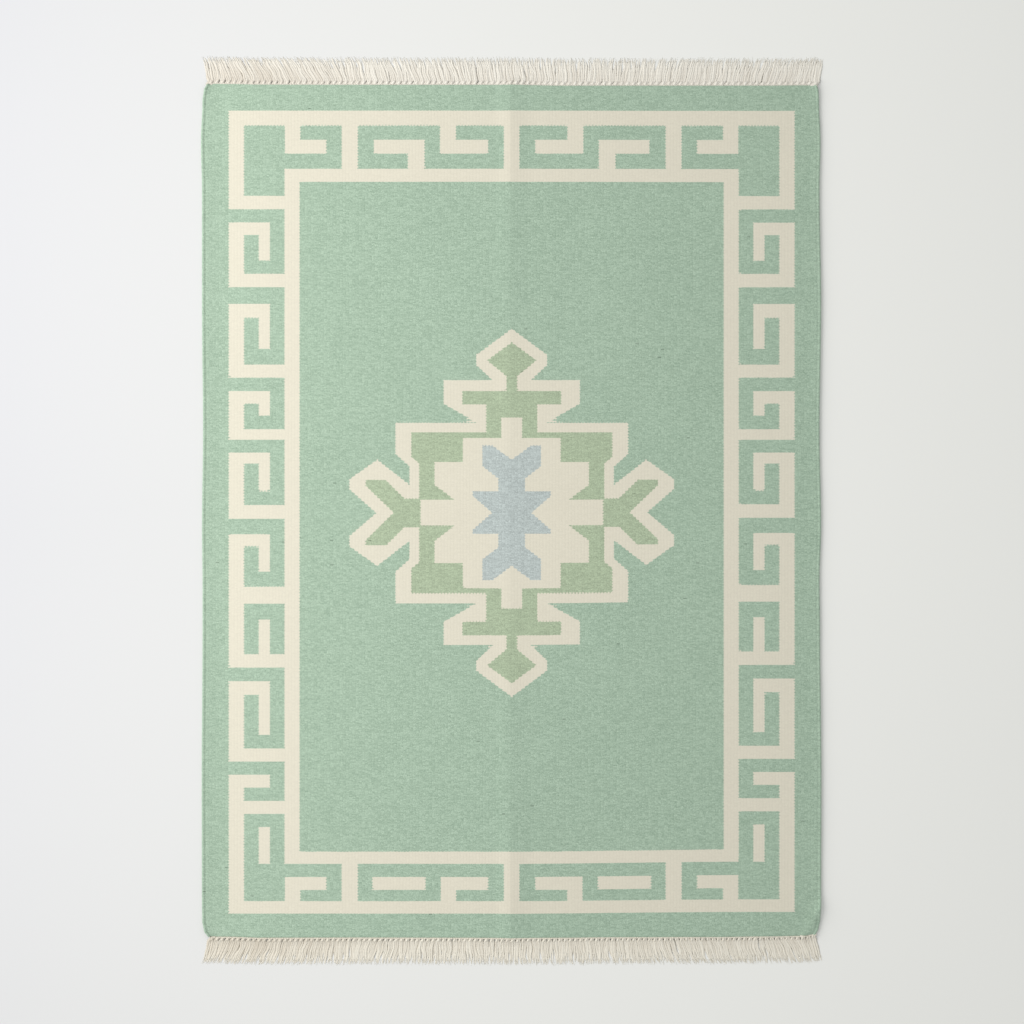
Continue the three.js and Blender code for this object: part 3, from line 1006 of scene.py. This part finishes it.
def swept(tree, lines, profile, thick, flatness, tone, along_mm, sides):
    """A flattened tube round each line, which keeps its tone and the place along and round it."""
    lines = tree.keep(lines, "tone", tone)
    lines = tree.keep(lines, "along_mm", along_mm)
    lines = tree.node("GeometryNodeSetCurveNormal", {"mode": "Z_UP"}, {"Curve": lines})
    angle = tree.node("GeometryNodeInputIndex") * (4 * math.pi / sides)
    profile = tree.keep(profile, "round_sine", angle.sine())
    profile = tree.keep(profile, "round_cosine", angle.cosine())
    sockets = {"Geometry": profile, "Scale": (1, flatness, 1)}
    profile = tree.node("GeometryNodeTransform", None, sockets)
    sockets = {"Curve": lines, "Profile Curve": profile, "Scale": thick, "Fill Caps": True}
    return tree.node("GeometryNodeCurveToMesh", None, sockets)


def yarn_turns(tree, places, size, slant, tone):
    """Short plump turns of yarn, each with a tone of its own."""
    turn = tree.node("GeometryNodeMeshUVSphere", None, {"Segments": 8, "Rings": 6, "Radius": 1.0})
    return tree.toned_copies(places, turn, size, slant, tone)


def twining(tree):
    """The row of cream stitches that binds the last weft, one over each warp."""
    places = tree.spaced_points("Edge", tree.given("Twining pitch"))
    shift = tree.vector(0, tree.given("Outward") * tree.given("Twining out"), 0)
    places = tree.node("GeometryNodeSetPosition", None, {"Geometry": places, "Offset": shift})
    number = tree.node("GeometryNodeInputIndex")
    seed = tree.given("Seed") + 20
    swell = MM * (1 + 0.25 * (tree.chance(number, seed, 1) - 0.5))
    slant = tree.given("Outward") * (0.5 + 0.3 * tree.chance(number, seed, 2))
    tone = 0.8 + 0.3 * (tree.chance(number, seed, 3) - 0.5)
    size = tree.vector(*[swell * half for half in TWINING_STITCH])
    return yarn_turns(tree, places, size, slant, tone)


def knot_turns(tree, turn_size, slant):
    """The turn of yarn that closes each knot."""
    hosts = tree.node("GeometryNodePoints", None, {"Count": tree.given("Knots")})
    number = tree.node("GeometryNodeInputIndex")
    seed = tree.given("Seed") + 30
    (x, y, z), _ = place_on(tree, number + 0.5)
    reach = turn_size[1] * math.cos(slant) - 0.6
    out = tree.given("Twining out") + (reach + 0.8 * (tree.chance(number, seed, 1) - 0.5)) * MM
    lean = out * math.tan(slant)
    place = tree.vector(x + lean, y + tree.given("Outward") * out, z + 0.1 * MM)
    hosts = tree.node("GeometryNodeSetPosition", None, {"Geometry": hosts, "Position": place})
    swell = MM * (1 + 0.2 * (tree.chance(number, seed, 2) - 0.5))
    size = tree.vector(*[swell * half for half in turn_size])
    turn = tree.given("Outward") * -slant + 0.25 * (tree.chance(number, seed, 3) - 0.5)
    tone = 0.85 + 0.3 * (tree.chance(number, seed, 4) - 0.5) - shaded_left_end(x)
    return yarn_turns(tree, hosts, size, turn, tone)


for fringe in FRINGES:
    edge_columns = np.linspace(fringe["inset"] - HALF_WIDTH, HALF_WIDTH, EDGE_COLUMNS)
    edge_rows = np.full(edge_columns.shape, fringe["end"] * HALF_LENGTH)
    edge_line = guide_line(fringe["name"] + "_edge", [edge_points(edge_columns, edge_rows)])
    leans = value_at(fringe["leans"], 0, edge_columns, 1) * MM
    for point, lean in zip(edge_line.data.splines[0].points, leans):
        point.tilt = lean
    fringe_cotton = yarn_finish(
        fringe["name"] + "_cotton", fringe["dark"], fringe["light"], YARN_TWIST_PITCH
    )
    tree = GeometryTree(fringe["name"], {
        "Edge": edge_line,
        "Outward": fringe["end"],
        "Length": fringe["length"] * MM,
        "Knots": fringe["knots"],
        "Yarn thickness": fringe["yarn"] * MM,
        "First lean": fringe["first_lean"] * MM,
        "Neck": fringe["neck"],
        "Neck reach": fringe["neck_reach"] * MM,
        "Twining pitch": TWINING_PITCH * MM,
        "Twining out": fringe["twining_out"] * MM,
        "Seed": 11,
        "Yarn": fringe_cotton,
    })
    yarns = [
        shaped_yarns(tree, layer, tree.given("Seed") + LAYER_SEEDS_APART * number)
        for number, layer in enumerate(YARN_LAYERS)
    ]
    turns = knot_turns(tree, fringe["turn_size"], math.radians(fringe["turn_slant"]))
    whole = tree.join(*yarns, shaped_hairs(tree), twining(tree), turns)
    tree.finish(whole, tree.given("Yarn"))
    piece = tree.grow(fringe["name"] + "_yarns")
    bpy.data.objects.remove(edge_line)
    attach(piece, "root")
    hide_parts(fringe["name"])


# The floor, the lamp and the camera: a pale matt floor, darker by the lamp so that it looks
# evenly lit, one broad soft lamp low on the left, soft light from all round, and a camera
# straight above the rug.
FLOOR_HALF = 9.0
FLOOR_BY_LAMP = (0.585, 0.588, 0.605, 1)
FLOOR_AWAY = (0.86, 0.862, 0.825, 1)
LESS_AT_FOOT = 0.14
floor_mesh = bpy.data.meshes.new("floor")
floor_corners = [(-FLOOR_HALF, -FLOOR_HALF, 0), (FLOOR_HALF, -FLOOR_HALF, 0)]
floor_corners += [(FLOOR_HALF, FLOOR_HALF, 0), (-FLOOR_HALF, FLOOR_HALF, 0)]
floor_mesh.from_pydata(floor_corners, [], [(0, 1, 2, 3)])
floor = new_piece("floor", floor_mesh)
floor_paint, paint = new_finish("floor_paint")
floor_place = paint.node("ShaderNodeTexCoord", None, None, "Object")
floor_side = paint.part(floor_place, "X")
floor_along = paint.part(floor_place, "Y")
towards_foot = (floor_along * -1).clipped()
by_lamp = (0.5 - floor_side * 0.5).clipped() * (1 - LESS_AT_FOOT * towards_foot)
floor_colour = paint.mix(1 - by_lamp * by_lamp, FLOOR_BY_LAMP, FLOOR_AWAY)
sockets = {"Base Color": floor_colour, "Roughness": 0.8, "Specular IOR Level": 0.1}
surface = paint.node("ShaderNodeBsdfPrincipled", None, sockets)
paint.node("ShaderNodeOutputMaterial", None, {"Surface": surface})
floor_mesh.materials.append(floor_paint)

ROOM_COLOUR = (0.98, 0.99, 1.0, 1)
ROOM_STRENGTH = 0.645
world = bpy.data.worlds.new("soft room")
bpy.context.scene.world = world
world.use_nodes = True
room_light = world.node_tree.nodes["Background"]
room_light.inputs["Color"].default_value = ROOM_COLOUR
room_light.inputs["Strength"].default_value = ROOM_STRENGTH

LAMP = {"at": (-2.43, 0.47, 1.6), "size": 3.2, "watts": 88.2, "colour": (1.0, 0.99, 0.97)}
light = bpy.data.lights.new("key", "AREA")
light.shape = "DISK"
light.size = LAMP["size"]
light.energy = LAMP["watts"]
light.color = LAMP["colour"]
lamp = new_piece("key", light)
lamp.location = LAMP["at"]
# The lamp is aimed at the middle of the rug
lamp_x, lamp_y, lamp_z = LAMP["at"]
lamp_pitch = math.atan2(math.hypot(lamp_x, lamp_y), lamp_z)
lamp.rotation_euler = (lamp_pitch, 0, math.atan2(-lamp_y, -lamp_x) - math.pi / 2)

# The picture's middle, in its own pixels, lies over the middle of the cloth
PIXEL = 1.948 * MM
FRAME_PIXELS = 1024
PHOTO_MIDDLE_X = 511.5
PHOTO_MIDDLE_Y = 510.75
LENS = 85
SENSOR = 36
camera_data = bpy.data.cameras.new("camera")
camera_data.lens = LENS
camera_data.sensor_width = SENSOR
camera = new_piece("camera", camera_data)
view_width = FRAME_PIXELS * PIXEL
camera_x = (FRAME_PIXELS / 2 - PHOTO_MIDDLE_X) * PIXEL + CENTRING_X * MM
camera_y = (PHOTO_MIDDLE_Y - FRAME_PIXELS / 2) * PIXEL + CENTRING_Y * MM
camera.location = (camera_x, camera_y, CLOTH_THICK * MM + view_width * LENS / SENSOR)
bpy.context.scene.camera = camera
bpy.context.scene.view_settings.view_transform = "Standard"
